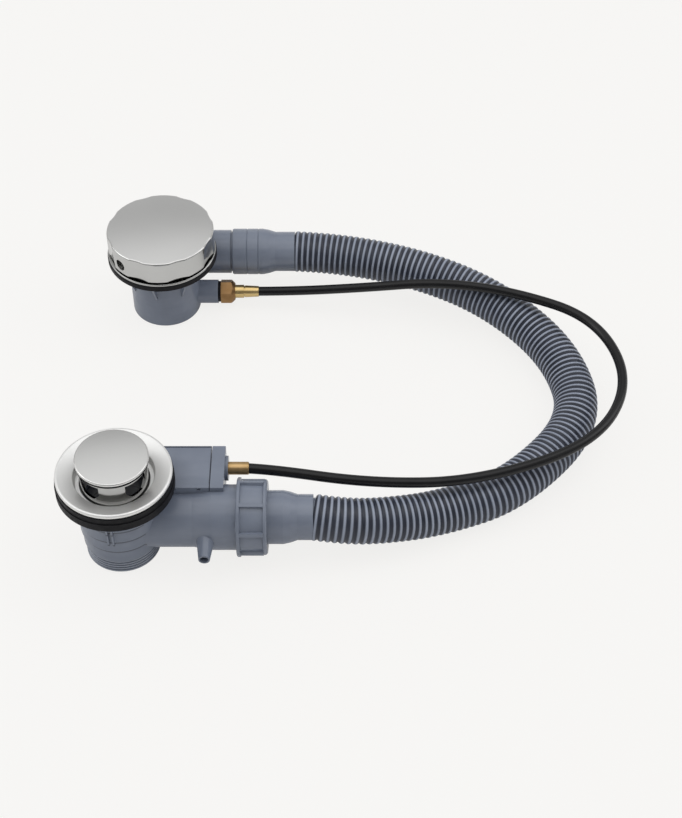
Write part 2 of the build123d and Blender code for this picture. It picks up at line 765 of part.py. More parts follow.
with BuildPart() as axle_o_ring:
    with BuildSketch(Plane.XZ.offset(-CAVITY_Y0)):
        with Locations((AXLE_X, AXLE_Z)):
            Circle(AXLE_R + O_RING_T - 0.02)
            Circle(AXLE_R + RUN, mode=Mode.SUBTRACT)
    extrude(amount=O_RING_T - 0.1)
pieces["axle_o_ring"] = axle_o_ring

# Box closing pieces: lid and the block that holds the cable's end
with BuildPart() as box_lid:
    with BuildSketch(Plane.XY.offset(BOX_TOP - LID_LOW - LID_T)):
        with BuildLine():
            Polyline(
                (BOX_X0 + BOX_WALL / 2 + SEAM / 2, LID_Y0 + SEAM / 2),
                (BOX_X1 - 0.2, LID_Y0 + SEAM / 2),
                (BOX_X1 - 0.2, BOX_Y1 - BOX_WALL / 2 - SEAM / 2),
                (BOX_X0 + BOX_WALL / 2 + SEAM / 2, BOX_Y1 - BOX_WALL / 2 - SEAM / 2),
                close=True,
            )
        make_face()
        Circle(LID_ROUND + SEAM / 2, mode=Mode.SUBTRACT)
    extrude(amount=LID_T)
pieces["box_lid"] = box_lid

with BuildPart() as box_end_block:
    with BuildSketch(Plane.YZ.offset(BOX_X1 + SEAM)) as block_end:
        with BuildLine():
            Polyline(
                (BOX_Y0, END_BLOCK_Z0),
                (BOX_Y0, BOX_TOP),
                (BOX_Y1, BOX_TOP),
                (BOX_Y1, END_BLOCK_Z0),
                close=True,
            )
        make_face()
        fillet(block_end.vertices().group_by(Axis.X)[-1], 1.5)
    extrude(amount=END_BLOCK_L - SEAM)
    with BuildSketch(Plane.YZ.offset(BOX_END_X)):
        with Locations((WIRE_Y, WIRE_Z)):
            Circle(FERRULE_BOSS_R)
    extrude(amount=FERRULE_BOSS_L)
    with BuildSketch(Plane.YZ.offset(BOX_X1)):
        with Locations((0, TUBE_Z)):
            Circle(UNION_THREAD_R + 0.2)
    extrude(amount=END_BLOCK_L + 5, mode=Mode.SUBTRACT)
    with BuildSketch(Plane.YZ.offset(BOX_X1 + 4)):
        with Locations((WIRE_Y, WIRE_Z)):
            Circle(FERRULE_R + 0.02)
    extrude(amount=END_BLOCK_L + 5, mode=Mode.SUBTRACT)
    with BuildSketch(Plane.YZ.offset(BOX_X1)):
        with Locations((WIRE_Y, WIRE_Z)):
            Circle(WIRE_R + 1)
    extrude(amount=END_BLOCK_L, mode=Mode.SUBTRACT)
pieces["box_end_block"] = box_end_block

with BuildPart() as lower_ferrule:
    with BuildSketch(along_x(WIRE_Y, WIRE_Z)):
        with BuildLine():
            Polyline(
                (BOX_X1 + 4, SHEATH_BORE),
                (BOX_X1 + 4, FERRULE_R),
                (FERRULE_END_X - 0.5, FERRULE_R),
                (FERRULE_END_X, FERRULE_R - 0.4),
                (FERRULE_END_X, SHEATH_R + RUN),
                (LOWER_SHEATH_X, SHEATH_R + RUN),
                (LOWER_SHEATH_X, SHEATH_BORE),
                close=True,
            )
        make_face()
    revolve(axis=WIRE_AXIS)
pieces["lower_ferrule"] = lower_ferrule

with BuildPart() as lower_wire_end:
    with BuildSketch(Plane.YZ.offset(NIPPLE_X)):
        with Locations((WIRE_Y, WIRE_Z)):
            Circle(WIRE_R)
    extrude(amount=CORE_END_X - 1 - NIPPLE_X)
    with BuildSketch(Plane.XZ.offset(-(ARM_Y - CLEAR))):
        with Locations((NIPPLE_X, WIRE_Z)):
            Circle(NIPPLE_R)
    extrude(amount=2 * (ARM_Y - CLEAR - WIRE_Y) + 1.4)
    with BuildSketch(Plane.XZ.offset(-(ARM_Y + ARM_T + 0.5))):
        with Locations((NIPPLE_X, WIRE_Z)):
            Circle(NIPPLE_PIN_R)
    extrude(amount=ARM_T + 1.5)
pieces["lower_wire_end"] = lower_wire_end

# Union nut with its washer, and the hose's two moulded cuffs
NUT_X1 = NUT_X0 + NUT_L
NUT_SHOULDER_X = TUBE_END_X + WASHER_L + CUFF_FLANGE_L
with BuildPart() as union_nut:
    with BuildSketch(along_x(0, TUBE_Z)):
        with BuildLine():
            Polyline(
                (NUT_X0, UNION_THREAD_R + CLEAR),
                (NUT_X0, NUT_RIB_R - 0.6),
                (NUT_X0 + 0.6, NUT_RIB_R),
                (NUT_X0 + NUT_RIM_L, NUT_RIB_R),
                (NUT_X0 + NUT_RIM_L + 0.5, NUT_R),
                (NUT_X1 - NUT_RIM_L - 0.5, NUT_R - 0.6),
                (NUT_X1 - NUT_RIM_L, NUT_RIB_R - 1.2),
                (NUT_X1 - 0.8, NUT_RIB_R - 1.4),
                (NUT_X1, NUT_RIB_R - 2.4),
                (NUT_X1, LOWER_CUFF_R + CLEAR),
                (NUT_SHOULDER_X, LOWER_CUFF_R + CLEAR),
                (NUT_SHOULDER_X, UNION_THREAD_R + CLEAR),
                close=True,
            )
        make_face()
    revolve(axis=TUBE_AXIS)
    with BuildSketch(Plane.YZ.offset(NUT_X0 + NUT_RIM_L)):
        with Locations((0, TUBE_Z)):
            with PolarLocations((NUT_R + NUT_RIB_R) / 2 - 1, NUT_RIBS, start_angle=22.0):
                Rectangle(NUT_RIB_R - NUT_R + 1.6, NUT_RIB_W)
    extrude(amount=NUT_L - 2 * NUT_RIM_L)
pieces["union_nut"] = union_nut

with BuildPart() as cone_washer:
    with BuildSketch(along_x(0, TUBE_Z)):
        with BuildLine():
            Polyline(
                (TUBE_END_X, TUBE_BORE),
                (TUBE_END_X, CUFF_FLANGE_R),
                (TUBE_END_X + WASHER_L, CUFF_FLANGE_R),
                (TUBE_END_X + WASHER_L, TUBE_BORE - 1),
                close=True,
            )
        make_face()
    revolve(axis=TUBE_AXIS)
pieces["cone_washer"] = cone_washer

CUFF_FLANGE_X = TUBE_END_X + WASHER_L
with BuildPart() as lower_hose_cuff:
    with BuildSketch(along_x(0, TUBE_Z)):
        with BuildLine():
            Polyline(
                (CUFF_FLANGE_X, LOWER_CUFF_R - 2),
                (CUFF_FLANGE_X, CUFF_FLANGE_R),
                (NUT_SHOULDER_X, CUFF_FLANGE_R),
                (NUT_SHOULDER_X, LOWER_CUFF_R),
                (LOWER_TAPER_X0, LOWER_CUFF_R),
                ((LOWER_TAPER_X0 + LOWER_TAPER_X1) / 2, (LOWER_CUFF_R + LOWER_NECK_R) / 2 + 0.3),
                (LOWER_TAPER_X1, LOWER_NECK_R),
                (LOWER_HOSE_X, LOWER_NECK_R),
                (LOWER_HOSE_X, NOSE_R),
                (LOWER_HOSE_X + NOSE_L, NOSE_R),
                (LOWER_HOSE_X + NOSE_L, CUFF_BORE),
                (LOWER_TAPER_X1 - 1, CUFF_BORE),
                (LOWER_TAPER_X0 - 1, LOWER_CUFF_R - 2),
                close=True,
            )
        make_face()
    revolve(axis=TUBE_AXIS)
pieces["lower_hose_cuff"] = lower_hose_cuff

cuff_outline = [(UPPER_CUFF_X0, SPIGOT_NOSE_R + RUN), (UPPER_CUFF_X0, UPPER_CUFF_R - 0.5)]
cuff_outline.append((UPPER_CUFF_X0 + 0.8, UPPER_CUFF_R))
for groove_step in GROOVE_STEPS:
    groove_x = UPPER_CUFF_X0 + groove_step
    cuff_outline.append((groove_x - GROOVE, UPPER_CUFF_R))
    cuff_outline.append((groove_x, UPPER_CUFF_R - GROOVE))
    cuff_outline.append((groove_x + GROOVE, UPPER_CUFF_R))
cuff_outline += [
    (UPPER_TAPER_X0, UPPER_CUFF_R),
    ((UPPER_TAPER_X0 + UPPER_TAPER_X1) / 2, (UPPER_CUFF_R + UPPER_NECK_R) / 2 + 0.3),
    (UPPER_TAPER_X1, UPPER_NECK_R),
    (UPPER_HOSE_X, UPPER_NECK_R),
    (UPPER_HOSE_X, NOSE_R),
    (UPPER_HOSE_X + NOSE_L, NOSE_R),
    (UPPER_HOSE_X + NOSE_L, CUFF_BORE),
    (UPPER_TAPER_X1 - 1, CUFF_BORE),
    (SPIGOT_END_X + 0.5, SPIGOT_NOSE_R - 1.6),
    (SPIGOT_END_X + 0.5, SPIGOT_NOSE_R + RUN),
]
with BuildPart() as upper_hose_cuff:
    with BuildSketch(along_x(SPIGOT_Y, SPIGOT_Z)):
        with BuildLine():
            Polyline(*cuff_outline, close=True)
        make_face()
    revolve(axis=SPIGOT_AXIS)
pieces["upper_hose_cuff"] = upper_hose_cuff

# Corrugated run of the hose and the cable's sheath, as plain tubes on their routes
overflow_hose = tube(HOSE_ROUTE, HOSE_R, HOSE_BORE)
pieces["overflow_hose"] = overflow_hose
cable_sheath = tube(CABLE_ROUTE, SHEATH_R, SHEATH_BORE)
pieces["cable_sheath"] = cable_sheath
core_route = [(CORE_START_X,) + CABLE_ROUTE[0][1:]] + CABLE_ROUTE[1:-1]
core_route.append((CORE_END_X,) + CABLE_ROUTE[-1][1:])
cable_core = tube(core_route, WIRE_R, 0)
pieces["cable_core"] = cable_core

# Overflow body: cup with flange and gussets, tangent hose spigot, cable gland and slider rails
with BuildPart() as overflow_body:
    with BuildSketch(OVER_UPRIGHT) as profile:
        with BuildLine():
            Polyline(
                (0, 0),
                (SHELL_R, 0),
                (SHELL_R, SHELL_TOP - SHELL_FLANGE_T),
                (SHELL_FLANGE_R, SHELL_TOP - SHELL_FLANGE_T),
                (SHELL_FLANGE_R, SHELL_TOP),
                (0, SHELL_TOP),
                close=True,
            )
        make_face()
        fillet(profile.vertices().group_by(Axis.Y)[0].sort_by(Axis.X)[-1], FOOT_ROUND)
    revolve(axis=OVER_AXIS)
    with BuildSketch(along_x(SPIGOT_Y, SPIGOT_Z)) as spigot:
        with BuildLine():
            Polyline(
                (SPIGOT_X0, 0),
                (SPIGOT_STEP_X, 0),
                (SPIGOT_STEP_X, SPIGOT_R),
                (SPIGOT_X0, SPIGOT_R),
                close=True,
            )
        make_face()
        fillet(spigot.vertices().group_by(Axis.Y)[-1].sort_by(Axis.X)[0], SPIGOT_ROUND)
    revolve(axis=SPIGOT_AXIS)
    with BuildSketch(Plane.YZ.offset(SPIGOT_STEP_X)):
        with Locations((SPIGOT_Y, SPIGOT_Z)):
            Circle(SPIGOT_NOSE_R)
    extrude(amount=SPIGOT_END_X - SPIGOT_STEP_X)
    with BuildSketch(Plane.YZ.offset(OVER_X + SHELL_R - SHELL_WALL - 2)):
        with Locations((OVER_Y, GLAND_Z)):
            Circle(GLAND_R)
    extrude(amount=GLAND_END_X - OVER_X - SHELL_R + SHELL_WALL + 2)
    with BuildSketch(Plane.YZ.offset(GLAND_END_X)):
        with Locations((OVER_Y, GLAND_Z)):
            Circle(GLAND_THREAD_R)
    extrude(amount=GLAND_THREAD_L)
    for gusset in range(GUSSETS):
        with BuildSketch(radial(-90 + GUSSET_ANGLE + gusset * 360 / GUSSETS, (OVER_X, OVER_Y))):
            with BuildLine():
                Polyline(
                    (SHELL_R - 1, SHELL_TOP - SHELL_FLANGE_T - GUSSET_H),
                    (SHELL_R, SHELL_TOP - SHELL_FLANGE_T - GUSSET_H),
                    (SHELL_FLANGE_R - 1, SHELL_TOP - SHELL_FLANGE_T),
                    (SHELL_R - 1, SHELL_TOP - SHELL_FLANGE_T),
                    close=True,
                )
            make_face()
        extrude(amount=GUSSET_T / 2, both=True)
    with BuildSketch(Plane.XY.offset(SHELL_FLOOR)):
        with Locations((OVER_X, OVER_Y)):
            Circle(SHELL_R - SHELL_WALL)
    extrude(amount=SHELL_TOP, mode=Mode.SUBTRACT)
    with BuildSketch(Plane.YZ.offset(SPIGOT_X0 + SHELL_WALL)):
        with Locations((SPIGOT_Y, SPIGOT_Z)):
            Circle(SPIGOT_BORE)
    extrude(amount=SPIGOT_END_X, mode=Mode.SUBTRACT)
    with BuildSketch(Plane.YZ.offset(OVER_X)):
        with Locations((OVER_Y, GLAND_Z)):
            Circle(GLAND_BORE)
    extrude(amount=GLAND_END_X + GLAND_THREAD_L, mode=Mode.SUBTRACT)
    # two rails that guide the slider along the wire
    with BuildSketch(Plane.XY.offset(SHELL_FLOOR - 0.5)):
        for side in (-1, 1):
            with Locations((OVER_X, OVER_Y + side * (TONGUE_HALF + SLIDE + RAIL_T / 2))):
                Rectangle(2 * RAIL_HALF_L, RAIL_T)
    extrude(amount=GLAND_Z - SLIDER_H / 2 - CLEAR - SHELL_FLOOR + 0.5)
    # screw posts of the face plate
    for side in (0, 180):
        a = radians(side)
        with BuildSketch(Plane.XY.offset(SHELL_TOP - SCREW_L + SCREW_HEAD_H + OVER_SEAL_T + PLATE_T - 2)):
            with Locations((OVER_X + SCREW_PCD_R * cos(a), OVER_Y + SCREW_PCD_R * sin(a))):
                Circle(SCREW_R + 1.6)
        extrude(amount=SCREW_L - SCREW_HEAD_H - OVER_SEAL_T - PLATE_T + 2)
        with BuildSketch(Plane.XY.offset(SHELL_TOP + 1)):
            with Locations((OVER_X + SCREW_PCD_R * cos(a), OVER_Y + SCREW_PCD_R * sin(a))):
                Circle(SCREW_R + 0.02)
        extrude(amount=-(SCREW_L - OVER_SEAL_T - PLATE_T + 1), mode=Mode.SUBTRACT)
pieces["overflow_body"] = overflow_body

with BuildPart() as overflow_seal:
    with BuildSketch(Plane.XY.offset(SHELL_TOP)) as ring:
        with Locations((OVER_X, OVER_Y)):
            Circle(OVER_SEAL_R)
            Circle(OVER_SEAL_BORE, mode=Mode.SUBTRACT)
            with PolarLocations(SCREW_PCD_R, 2):
                Circle(SCREW_R + 0.5, mode=Mode.SUBTRACT)
    extrude(amount=OVER_SEAL_T)
    chamfer(overflow_seal.edges().filter_by(GeomType.CIRCLE).group_by(SortBy.RADIUS)[-1], 0.8)
pieces["overflow_seal"] = overflow_seal

# Chromed face plate: water slots round a hub that carries the spindle
with BuildPart() as face_plate:
    with BuildSketch(OVER_UPRIGHT) as profile:
        with BuildLine():
            Polyline(
                (SPINDLE_R + RUN, PLATE_TOP - PLATE_HUB_L),
                (PLATE_HUB_R, PLATE_TOP - PLATE_HUB_L),
                (PLATE_HUB_R, SEAL_TOP),
                (PLATE_R, SEAL_TOP),
                (PLATE_R, PLATE_TOP),
                (SPINDLE_R + RUN, PLATE_TOP),
                close=True,
            )
        make_face()
        fillet(profile.vertices().group_by(Axis.X)[-1].sort_by(Axis.Y)[-1], PLATE_T / 2)
    revolve(axis=OVER_AXIS)
    with BuildSketch(Plane.XY.offset(SEAL_TOP - 1)):
        with Locations((OVER_X, OVER_Y)):
            with PolarLocations((PLATE_HUB_R + OVER_SEAL_BORE) / 2 - 0.5, PLATE_SLOTS, start_angle=30):
                SlotOverall(OVER_SEAL_BORE - PLATE_HUB_R - 4, PLATE_SLOT_W)
            with PolarLocations(SCREW_PCD_R, 2):
                Circle(SCREW_R + 0.2)
    extrude(amount=PLATE_T + 2, mode=Mode.SUBTRACT)
pieces["face_plate"] = face_plate

with BuildPart() as plate_screws:
    for side in (0, 180):
        a = radians(side)
        spot = (OVER_X + SCREW_PCD_R * cos(a), OVER_Y + SCREW_PCD_R * sin(a))
        with BuildSketch(Plane.XY.offset(PLATE_TOP)):
            with Locations(spot):
                Circle(SCREW_HEAD_R)
        extrude(amount=SCREW_HEAD_H)
        with BuildSketch(Plane.XY.offset(PLATE_TOP)):
            with Locations(spot):
                Circle(SCREW_R)
        extrude(amount=-(SCREW_L - SCREW_HEAD_H))
        with BuildSketch(Plane.XY.offset(PLATE_TOP + SCREW_HEAD_H)):
            with Locations(spot):
                Rectangle(SCREW_CROSS_L, SCREW_CROSS_W)
                Rectangle(SCREW_CROSS_W, SCREW_CROSS_L)
        extrude(amount=-SCREW_CROSS_W, mode=Mode.SUBTRACT)
pieces["plate_screws"] = plate_screws

# Spindle with the crank that pulls the wire; at rest the crank has pulled it in
CRANK_Z = GLAND_Z + SLIDER_H / 2 + CLEAR
CRANK_PIN = (OVER_X - CRANK_R * sin(radians(45)), OVER_Y - CRANK_R * cos(radians(45)))
SLIDER_X = CRANK_PIN[0]
with BuildPart() as overflow_spindle:
    with BuildSketch(Plane.XY.offset(CRANK_Z)):
        with Locations((OVER_X, OVER_Y)):
            Circle(SPINDLE_R + 2)
        with Locations(CRANK_PIN):
            Circle(CRANK_PIN_R + 1.5)
        make_hull()
    extrude(amount=CRANK_T)
    with BuildSketch(Plane.XY.offset(CRANK_Z)):
        with Locations(CRANK_PIN):
            Circle(CRANK_PIN_R)
    extrude(amount=-(SLIDER_H - 0.5))
    with BuildSketch(Plane.XY.offset(CRANK_Z)):
        with Locations((OVER_X, OVER_Y)):
            Circle(SPINDLE_R)
    extrude(amount=KNOB_TOP - KNOB_FACE_T - 1 - CRANK_Z)
    with BuildSketch(Plane.XY.offset(PLATE_TOP - PLATE_HUB_L - 0.4)):
        with Locations((OVER_X, OVER_Y)):
            Circle(SPINDLE_R + 1)
            Circle(SPINDLE_R - 0.8, mode=Mode.SUBTRACT)
    extrude(amount=-CLIP_T, mode=Mode.SUBTRACT)
pieces["overflow_spindle"] = overflow_spindle

with BuildPart() as spindle_clip:
    with BuildSketch(Plane.XY.offset(PLATE_TOP - PLATE_HUB_L - 0.4)):
        with Locations((OVER_X, OVER_Y)):
            Circle(CLIP_R)
            Circle(SPINDLE_R - 0.75, mode=Mode.SUBTRACT)
        with Locations((OVER_X + CLIP_R, OVER_Y)):
            Rectangle(2 * CLIP_R - 4, 5.0, mode=Mode.SUBTRACT)
    extrude(amount=-CLIP_T)
pieces["spindle_clip"] = spindle_clip

with BuildPart() as wire_slider:
    with BuildSketch(Plane.XY.offset(GLAND_Z - SLIDER_H / 2)):
        with Locations((SLIDER_X, OVER_Y - CRANK_R / 2 - 0.3)):
            Rectangle(2 * SLIDER_HALF, CRANK_R + 2 * TONGUE_HALF - 1.0)
        with Locations((SLIDER_X, OVER_Y - CRANK_R - 1.0)):
            Rectangle(2 * (CRANK_PIN_R + 0.45), SLIDER_SLOT_L, mode=Mode.SUBTRACT)
    extrude(amount=SLIDER_H)
    with BuildSketch(Plane.XY.offset(SHELL_FLOOR + CLEAR)):
        with Locations((SLIDER_X, OVER_Y)):
            Rectangle(2 * SLIDER_HALF, 2 * TONGUE_HALF)
    extrude(amount=GLAND_Z - SHELL_FLOOR - CLEAR)
    with BuildSketch(Plane.YZ.offset(SLIDER_X)):
        with Locations((OVER_Y, GLAND_Z)):
            Circle(WIRE_R)
    extrude(amount=UPPER_SHEATH_X - WIRE_END_GAP - SLIDER_X)
pieces["wire_slider"] = wire_slider

# Knob: lobed shell with a hub on the spindle and a radial hole for the grub screw
SCALLOP_AT = KNOB_R - SCALLOP_DEPTH + SCALLOP_R
GRUB_ANGLE = LOBE_ANGLE - 360 / KNOB_LOBES
with BuildPart() as overflow_knob:
    with BuildSketch(Plane.XY.offset(KNOB_BOTTOM)):
        with Locations((OVER_X, OVER_Y)):
            Circle(KNOB_R)
    extrude(amount=KNOB_H)
    # scallops run out towards the top
    with Locations((OVER_X, OVER_Y, KNOB_BOTTOM)):
        with PolarLocations(SCALLOP_AT, KNOB_LOBES, start_angle=LOBE_ANGLE + 180 / KNOB_LOBES):
            Cone(
                SCALLOP_R,
                SCALLOP_R - SCALLOP_DEPTH + SCALLOP_TOP_DEPTH,
                KNOB_H,
                align=(Align.CENTER, Align.CENTER, Align.MIN),
                mode=Mode.SUBTRACT,
            )
    with BuildSketch(OVER_UPRIGHT):
        with BuildLine():
            TangentArc((0, KNOB_TOP), (KNOB_R + 1, KNOB_TOP - KNOB_DOME), tangent=(1, 0))
            Polyline(
                (KNOB_R + 1, KNOB_TOP - KNOB_DOME),
                (KNOB_R + 1, KNOB_TOP + 1),
                (0, KNOB_TOP + 1),
                (0, KNOB_TOP),
            )
        make_face()
    revolve(axis=OVER_AXIS, mode=Mode.SUBTRACT)
    fillet(overflow_knob.faces().sort_by(Axis.Z)[-1].outer_wire().edges(), KNOB_ROUND)
    with BuildSketch(Plane.XY.offset(KNOB_TOP - KNOB_FACE_T)):
        with Locations((OVER_X, OVER_Y)):
            Circle(KNOB_R - SCALLOP_DEPTH - KNOB_WALL)
            Circle(KNOB_HUB_R, mode=Mode.SUBTRACT)
    extrude(amount=-KNOB_H, mode=Mode.SUBTRACT)
    with BuildSketch(Plane.XY.offset(KNOB_BOTTOM - 1)):
        with Locations((OVER_X, OVER_Y)):
            Circle(SPINDLE_R + 0.02)
    extrude(amount=KNOB_H - KNOB_FACE_T + 1, mode=Mode.SUBTRACT)
    ga = radians(GRUB_ANGLE)
    grub_line = Plane(
        origin=(OVER_X, OVER_Y, GRUB_Z),
        x_dir=(sin(ga), -cos(ga), 0),
        z_dir=(cos(ga), sin(ga), 0),
    )
    with BuildSketch(grub_line.offset(KNOB_HUB_R - 1)):
        Circle(GRUB_BOSS_R)
    extrude(amount=KNOB_R - SCALLOP_DEPTH - KNOB_WALL - KNOB_HUB_R + 2)
    with BuildSketch(grub_line.offset(SPINDLE_R - 0.5)):
        Circle(GRUB_R + 0.02)
    extrude(amount=KNOB_HUB_R, mode=Mode.SUBTRACT)
    with BuildSketch(grub_line.offset(KNOB_HUB_R + 2)):
        Circle(GRUB_HOLE_R)
    extrude(amount=KNOB_R, mode=Mode.SUBTRACT)
pieces["overflow_knob"] = overflow_knob

with BuildPart() as knob_grub_screw:
    with BuildSketch(grub_line.offset(SPINDLE_R + 0.02)):
        Circle(GRUB_R)
    extrude(amount=GRUB_L)
    with BuildSketch(grub_line.offset(SPINDLE_R + 0.02 + GRUB_L)):
        RegularPolygon(1.25, 6, major_radius=False)
    extrude(amount=-2.2, mode=Mode.SUBTRACT)
pieces["knob_grub_screw"] = knob_grub_screw

# Cable gland: sealing ring, brass nut and stepped brass sleeve
with BuildPart() as gland_o_ring:
    with BuildSketch(Plane.YZ.offset(GLAND_END_X)):
        with Locations((OVER_Y, GLAND_Z)):
            Circle(GLAND_NUT_AF / 2 - 0.2)
            Circle(GLAND_THREAD_R + 0.02, mode=Mode.SUBTRACT)
    extrude(amount=O_RING_T)
pieces["gland_o_ring"] = gland_o_ring

with BuildPart() as gland_nut:
    with BuildSketch(Plane.YZ.offset(GLAND_NUT_X)):
        with Locations((OVER_Y, GLAND_Z)):
            RegularPolygon(GLAND_NUT_AF / 2, 6, major_radius=False, rotation=30)
    extrude(amount=GLAND_NUT_L)
    with BuildSketch(along_x(OVER_Y, GLAND_Z)):
        with BuildLine():
            Polyline(
                (GLAND_NUT_END - 3.0, GLAND_NUT_AF / 2 * 1.16),
                (GLAND_NUT_END - 3.0, GLAND_NUT_AF / 2 * 1.3),
                (GLAND_NUT_END + 1, GLAND_NUT_AF / 2 * 1.3),
                (GLAND_NUT_END + 1, GLAND_NUT_AF / 2 * 0.72),
                (GLAND_NUT_END, GLAND_NUT_AF / 2 * 0.78),
                close=True,
            )
        make_face()
    revolve(axis=GLAND_AXIS, mode=Mode.SUBTRACT)
    with BuildSketch(Plane.YZ.offset(GLAND_NUT_X)):
        with Locations((OVER_Y, GLAND_Z)):
            Circle(GLAND_THREAD_R + 0.02)
    extrude(amount=GLAND_THREAD_L - O_RING_T + 0.3, mode=Mode.SUBTRACT)
    with BuildSketch(Plane.YZ.offset(GLAND_NUT_X)):
        with Locations((OVER_Y, GLAND_Z)):
            Circle(GLAND_BORE)
    extrude(amount=GLAND_NUT_L, mode=Mode.SUBTRACT)
pieces["gland_nut"] = gland_nut

with BuildPart() as gland_sleeve:
    with BuildSketch(along_x(OVER_Y, GLAND_Z)):
        with BuildLine():
            Polyline(
                (GLAND_NUT_END, SHEATH_BORE),
                (GLAND_NUT_END, SLEEVE_R),
                (GLAND_NUT_END + SLEEVE_L, SLEEVE_R),
                (GLAND_NUT_END + SLEEVE_L, SLEEVE_TIP_R),
                (GLAND_NUT_END + SLEEVE_L + 0.8, SLEEVE_TIP_R),
                (GLAND_NUT_END + SLEEVE_L + 0.8, SLEEVE_TIP_R + 0.5),
                (SLEEVE_END_X, SLEEVE_TIP_R),
                (SLEEVE_END_X, SHEATH_R + RUN),
                (UPPER_SHEATH_X, SHEATH_R + RUN),
                (UPPER_SHEATH_X, SHEATH_BORE),
                close=True,
            )
        make_face()
    revolve(axis=GLAND_AXIS)
pieces["gland_sleeve"] = gland_sleeve

os.makedirs("parts", exist_ok=True)
for node, made in pieces.items():
    made.part.label = node
    export_step(made.part, f"parts/{node}.step")
print("hose bend radii", [round(r, 1) for r in arc_radii(HOSE_ROUTE)])
print("cable bend radii", [round(r, 1) for r in arc_radii(CABLE_ROUTE)])
for node, route, outer, inner in (
    ("hose", HOSE_ROUTE, HOSE_R, HOSE_BORE),
    ("sheath", CABLE_ROUTE, SHEATH_R, SHEATH_BORE),
):
    with BuildLine() as line:
        FilletPolyline(*route, radius=arc_radii(route))
    length = line.wires()[0].length
    made = overflow_hose if node == "hose" else cable_sheath
    section = pi * (outer ** 2 - inner ** 2)
    share = made.part.volume / (section * length)
    print(node, "length", round(length, 1), "volume over section times length", round(share, 4))
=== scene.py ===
"""Looks of the bath waste and overflow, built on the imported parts."""
import math

import bpy
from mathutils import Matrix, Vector


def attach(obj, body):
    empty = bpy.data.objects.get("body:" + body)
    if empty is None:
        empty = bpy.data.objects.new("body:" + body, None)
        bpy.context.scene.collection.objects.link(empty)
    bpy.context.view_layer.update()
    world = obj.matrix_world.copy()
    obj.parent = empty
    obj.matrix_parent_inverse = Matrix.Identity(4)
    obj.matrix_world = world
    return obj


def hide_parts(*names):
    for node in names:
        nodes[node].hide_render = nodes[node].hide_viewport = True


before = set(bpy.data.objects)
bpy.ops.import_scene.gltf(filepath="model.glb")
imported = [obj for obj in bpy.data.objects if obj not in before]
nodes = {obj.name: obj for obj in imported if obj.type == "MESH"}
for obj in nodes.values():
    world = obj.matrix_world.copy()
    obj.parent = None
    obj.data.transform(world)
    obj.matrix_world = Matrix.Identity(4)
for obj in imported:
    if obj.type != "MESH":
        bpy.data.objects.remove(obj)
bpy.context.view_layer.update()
scene = bpy.context.scene
scene.view_settings.view_transform = "Standard"

# Camera at the photograph's viewing angle, for a 682 x 818 image
IMAGE_H = 818
FOCAL_PX = 1650.0
SENSOR_MM = 36.0
PITCH = 47.2
CAMERA_PLACE = (0.1406, -0.6640, 0.8454)
CLIP_NEAR = 0.01
CLIP_FAR = 50.0

# Routes of the hose and the cable, in metres
HOSE_ROUTE = [
    (0.1065, 0.252, 0.028),
    (0.142, 0.2505, 0.0275),
    (0.206, 0.233, 0.025),
    (0.257, 0.204, 0.020),
    (0.297, 0.155, 0.015),
    (0.306, 0.093, 0.015),
    (0.255, 0.0335, 0.015),
    (0.204, 0.0120, 0.0155),
    (0.164, 0.0005, 0.0220),
    (0.140, -0.0020, 0.0256),
    (0.123, 0.000, 0.027),
]
CABLE_ROUTE = [
    (0.071, 0.226, 0.012),
    (0.103, 0.226, 0.012),
    (0.157, 0.217, 0.024),
    (0.210, 0.2075, 0.0385),
    (0.263, 0.196, 0.040),
    (0.3195, 0.172, 0.037),
    (0.338, 0.112, 0.036),
    (0.308, 0.0545, 0.036),
    (0.229, 0.0205, 0.038),
    (0.160, 0.0165, 0.0405),
    (0.090, 0.029, 0.041),
    (0.075, 0.029, 0.041),
]

# Hose and sheath, with the fineness of their curves and tubes
HOSE_R = 0.015
HOSE_ROOT_R = 0.0138
HOSE_END_R = 0.0136
HOSE_PITCH = 0.0042
RIDGE_STEPS = 10
HOSE_CURVE_STEPS = 48
HOSE_SEGMENTS = 40
SHEATH_R = 0.0034
SHEATH_STEP = 0.003
SHEATH_CURVE_STEPS = 24
SHEATH_SEGMENTS = 20

# Painted shade on the waste's cup, under its steps and in its outlet thread's roots, and painted highlight
# on that thread's crests: the steps, the cup's reach, and the outlet thread
CUP_STEPS = (0.0125, 0.0240, 0.0345, 0.0453)
CUP_REACH = 0.0292
TUBE_FROM_X = 0.018
STEP_SHADE_DROP = 0.0017
STEP_SHADE_HALF = 0.0013
STEP_SHADE = 0.8
THREAD_ROOT_R = 0.0228
THREAD_ROOT_SHADE_HALF = 0.0009
THREAD_CREST_R = 0.0239
THREAD_CREST_HIGHLIGHT_HALF = 0.0004

# Upright axes of the waste and the knob, and the crowns of the plug's cap and the knob's face
WASTE_AXIS = (0.0, 0.0)
CAP_CROWN_R = 0.80
KNOB_AXIS = (0.012, 0.226)
KNOB_CROWN_R = 0.45

# A face of the basket is outside where the dot product of its place and its normal is above this
BASKET_OUTSIDE = 0.002

# Rays that round an edge in the light
EDGE_SAMPLES = 4

# Floor with a low backdrop, just under the part, and how much of its own glow the eye and mirrors see
FLOOR_R = 20.0
FLOOR_SIDES = 64
FLOOR_DROP = 0.0002
BACKDROP_TOP = 3.0
FLOOR_SEEN = 0.86
FLOOR_MIRRORED = 0.30

# Soft boxes: place, size and power, all turned to the middle of the set
MIDDLE = (0.14, 0.12, 0.03)
SOFT_BOXES = {
    "left": ((-1.5, 0.2, 1.2), (0.9, 1.4), 4.5),
    "right": ((1.7, 0.5, 1.1), (0.9, 1.4), 4.0),
    "top": ((0.14, -0.05, 1.7), (2.2, 1.6), 8.5),
}

